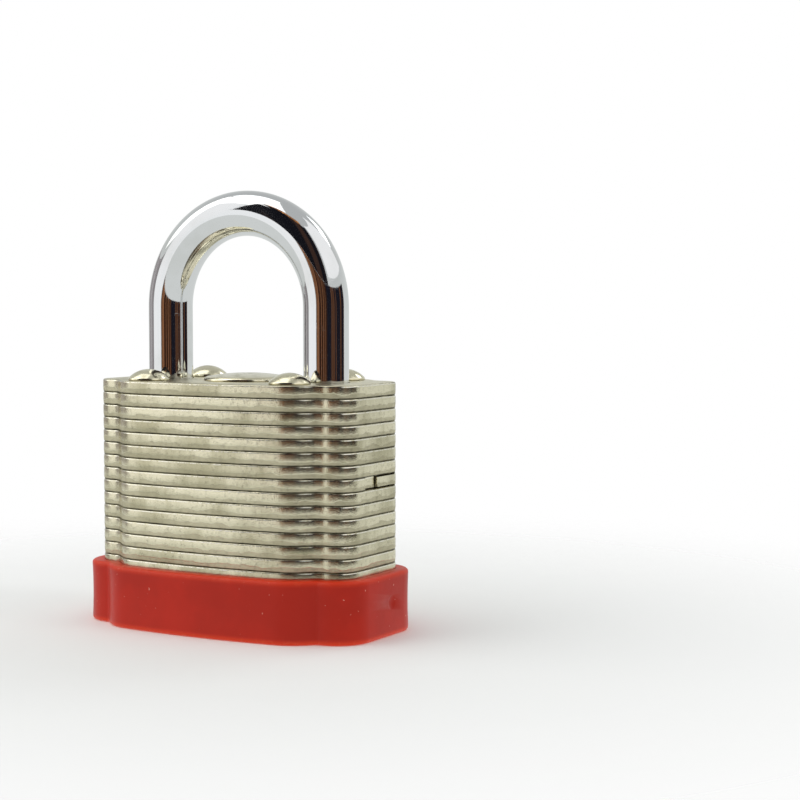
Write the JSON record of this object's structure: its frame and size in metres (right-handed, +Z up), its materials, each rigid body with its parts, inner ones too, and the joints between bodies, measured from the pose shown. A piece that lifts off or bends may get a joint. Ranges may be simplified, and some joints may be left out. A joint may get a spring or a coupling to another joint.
{
  "type": "laminated padlock",
  "caption": "Laminated steel padlock with a chromed U-shaped shackle, domed rivets, a red moulded boot round its base and a pin tumbler cylinder opened from below.",
  "frame": {"origin": "centre of the resting face under the boot", "axes": "+X along the body's width towards the heel leg, -Y out of the front face, +Z up through the shackle"},
  "size_m": [0.0434, 0.025, 0.0581],
  "materials": {
    "plate_steel": "nickel-plated stamped steel, burnished edges",
    "rivet_steel": "nickel-plated, peened",
    "boot_red": "semi-gloss moulded plastic",
    "shackle_chrome": "polished chrome plate",
    "brass": "turned brass",
    "latch_steel": "stamped steel",
    "spring_steel": "drawn spring wire"
  },
  "bodies": {
    "body": {"lamination_01": "plate_steel", "lamination_02": "plate_steel", "lamination_03": "plate_steel", "lamination_04": "plate_steel", "lamination_05": "plate_steel", "lamination_06": "plate_steel", "lamination_07": "plate_steel", "lamination_08": "plate_steel", "lamination_09": "plate_steel", "lamination_10": "plate_steel", "lamination_11": "plate_steel", "lamination_12": "plate_steel", "lamination_13": "plate_steel", "lamination_14": "plate_steel", "lamination_15": "plate_steel", "lamination_16": "plate_steel", "lamination_17": "plate_steel", "lamination_18": "plate_steel", "base_plate": "plate_steel", "bumper_boot": "boot_red", "rivet_front_left": "rivet_steel", "rivet_front_right": "rivet_steel", "rivet_rear_left": "rivet_steel", "rivet_rear_right": "rivet_steel", "centre_cap": "rivet_steel", "cylinder_housing": "brass", "chamber_cover": "brass", "driver_pin_1": "latch_steel", "driver_pin_2": "latch_steel", "driver_pin_3": "latch_steel", "driver_pin_4": "latch_steel", "pin_spring_1": "spring_steel", "pin_spring_2": "spring_steel", "pin_spring_3": "spring_steel", "pin_spring_4": "spring_steel", "shackle_retainer": "latch_steel", "shackle_spring": "spring_steel"},
    "plug": {"plug": "brass", "plug_clip": "latch_steel", "cam": "latch_steel", "bottom_pin_1": "brass", "bottom_pin_2": "brass", "bottom_pin_3": "brass", "bottom_pin_4": "brass"},
    "toe_lever": {"lever_toe": "latch_steel", "lever_spring_toe": "spring_steel"},
    "heel_lever": {"lever_heel": "latch_steel", "lever_spring_heel": "spring_steel"},
    "shackle": {"shackle": "shackle_chrome"}
  },
  "joints": [
    {"name": "shackle_lift", "type": "slide", "parent": "body", "child": "shackle", "axis": [0, 0, 1], "range_m": [0, 0.01919], "deforming": ["shackle_spring"]},
    {"name": "plug_turn", "type": "hinge", "parent": "body", "child": "plug", "pos_m": [0, 0, 0.008], "axis": [0, 0, 1], "range_deg": [0, 60]},
    {"name": "toe_lever_swing", "type": "hinge", "parent": "body", "child": "toe_lever", "pos_m": [-0.0112, -0.0068, 0.0201], "axis": [0, 0, 1], "range_deg": [-30, 0]},
    {"name": "heel_lever_swing", "type": "hinge", "parent": "body", "child": "heel_lever", "pos_m": [0.0112, 0.0068, 0.0201], "axis": [0, 0, 1], "range_deg": [-30, 0]}
  ],
  "couplings": [
    {"joint": "plug_turn", "follows": "shackle_lift", "rad_per_m": 54.569},
    {"joint": "toe_lever_swing", "follows": "shackle_lift", "rad_per_m": -27.285},
    {"joint": "heel_lever_swing", "follows": "shackle_lift", "rad_per_m": -27.285}
  ]
}
